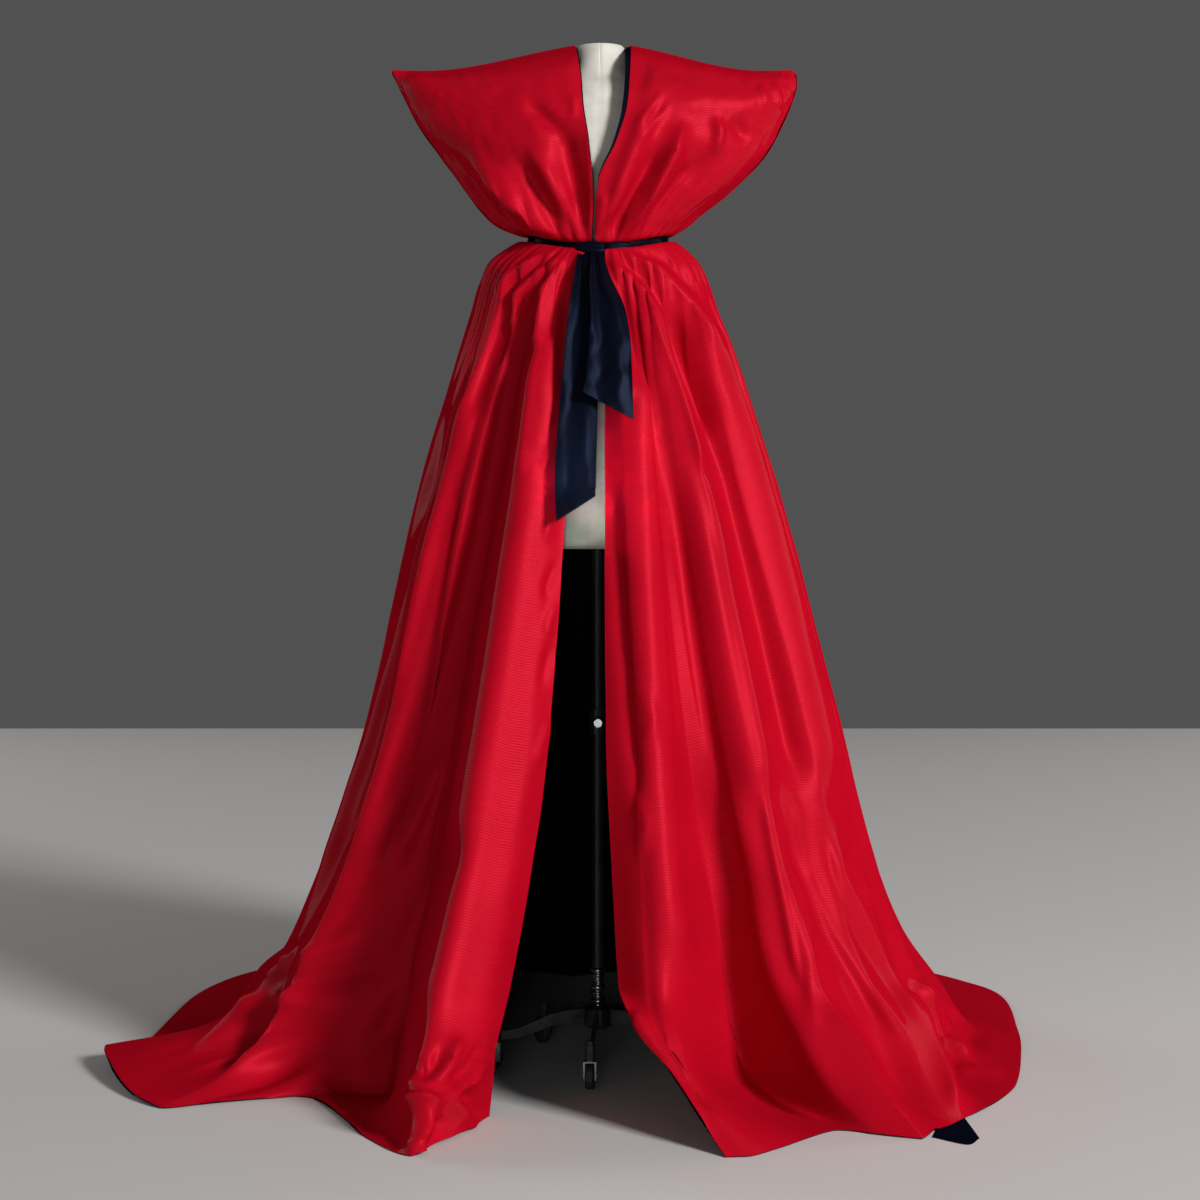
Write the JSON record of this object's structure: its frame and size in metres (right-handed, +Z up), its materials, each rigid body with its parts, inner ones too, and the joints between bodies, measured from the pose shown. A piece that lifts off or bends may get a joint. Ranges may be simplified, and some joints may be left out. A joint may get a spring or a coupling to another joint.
{
  "type": "opera cape on wheeled dress form",
  "caption": "Floor-length open-front opera cape with winged shoulders, train and front-tied sash, on a limbless wheeled dress form.",
  "frame": {"origin": "on the floor, under the middle of the whole object's box", "axes": "+Z up, -Y towards the viewer of the front, +X to the viewer's right"},
  "size_m": [1.605, 1.5074, 1.7302],
  "materials": {
    "red_taffeta": "crisp silk taffeta, soft sheen",
    "navy_satin": "dark navy satin, soft sheen",
    "form_linen": "matt off-white linen",
    "black_metal": "satin black",
    "steel": "bright",
    "wheel_rubber": "dark grey"
  },
  "bodies": {
    "cape_and_form": {"skirt_front_left": "red_taffeta", "skirt_back_left": "red_taffeta", "skirt_back_right": "red_taffeta", "skirt_front_right": "red_taffeta", "bodice_front_left": "red_taffeta", "bodice_front_right": "red_taffeta", "bodice_back": "red_taffeta", "lining_skirt_front_left": "navy_satin", "lining_skirt_back_left": "navy_satin", "lining_skirt_back_right": "navy_satin", "lining_skirt_front_right": "navy_satin", "lining_front_left": "navy_satin", "lining_front_right": "navy_satin", "lining_back": "navy_satin", "lining_corner_left": "navy_satin", "lining_corner_right": "navy_satin", "sash_band": "navy_satin", "sash_knot": "navy_satin", "sash_loop": "navy_satin", "sash_tail_long": "navy_satin", "sash_tail_short": "navy_satin", "form_torso": "form_linen", "pole": "black_metal", "height_collar": "black_metal", "hub": "black_metal", "height_knob": "steel", "spindle": "steel", "leg_1": "black_metal", "leg_2": "black_metal", "leg_3": "black_metal", "leg_4": "black_metal", "leg_5": "black_metal"},
    "swivel_1": {"caster_fork_1": "steel"},
    "roller_1": {"wheel_1": "wheel_rubber"},
    "swivel_2": {"caster_fork_2": "steel"},
    "roller_2": {"wheel_2": "wheel_rubber"},
    "swivel_3": {"caster_fork_3": "steel"},
    "roller_3": {"wheel_3": "wheel_rubber"},
    "swivel_4": {"caster_fork_4": "steel"},
    "roller_4": {"wheel_4": "wheel_rubber"},
    "swivel_5": {"caster_fork_5": "steel"},
    "roller_5": {"wheel_5": "wheel_rubber"}
  },
  "joints": [
    {"name": "caster_swivel_1", "type": "hinge", "parent": "cape_and_form", "child": "swivel_1", "pos_m": [0.02043, -0.32248, 0.0445], "axis": [0, 0, 1], "continuous": true},
    {"name": "wheel_spin_1", "type": "hinge", "parent": "swivel_1", "child": "roller_1", "pos_m": [0.01973, -0.33246, 0.0205], "axis": [0.9976, -0.0698, 0], "continuous": true},
    {"name": "caster_swivel_2", "type": "hinge", "parent": "cape_and_form", "child": "swivel_2", "pos_m": [-0.13806, -0.18949, 0.0445], "axis": [0, 0, 1], "continuous": true},
    {"name": "wheel_spin_2", "type": "hinge", "parent": "swivel_2", "child": "roller_2", "pos_m": [-0.14777, -0.19191, 0.0205], "axis": [0.2419, -0.9703, 0], "continuous": true},
    {"name": "caster_swivel_3", "type": "hinge", "parent": "cape_and_form", "child": "swivel_3", "pos_m": [-0.06056, 0.00235, 0.0445], "axis": [0, 0, 1], "continuous": true},
    {"name": "wheel_spin_3", "type": "hinge", "parent": "swivel_3", "child": "roller_3", "pos_m": [-0.06586, 0.01083, 0.0205], "axis": [-0.848, -0.5299, 0], "continuous": true},
    {"name": "caster_swivel_4", "type": "hinge", "parent": "cape_and_form", "child": "swivel_4", "pos_m": [0.14584, -0.01209, 0.0445], "axis": [0, 0, 1], "continuous": true},
    {"name": "wheel_spin_4", "type": "hinge", "parent": "swivel_4", "child": "roller_4", "pos_m": [0.15227, -0.00443, 0.0205], "axis": [-0.766, 0.6428, 0], "continuous": true},
    {"name": "caster_swivel_5", "type": "hinge", "parent": "cape_and_form", "child": "swivel_5", "pos_m": [0.19589, -0.21284, 0.0445], "axis": [0, 0, 1], "continuous": true},
    {"name": "wheel_spin_5", "type": "hinge", "parent": "swivel_5", "child": "roller_5", "pos_m": [0.20516, -0.21659, 0.0205], "axis": [0.3746, 0.9272, 0], "continuous": true}
  ]
}
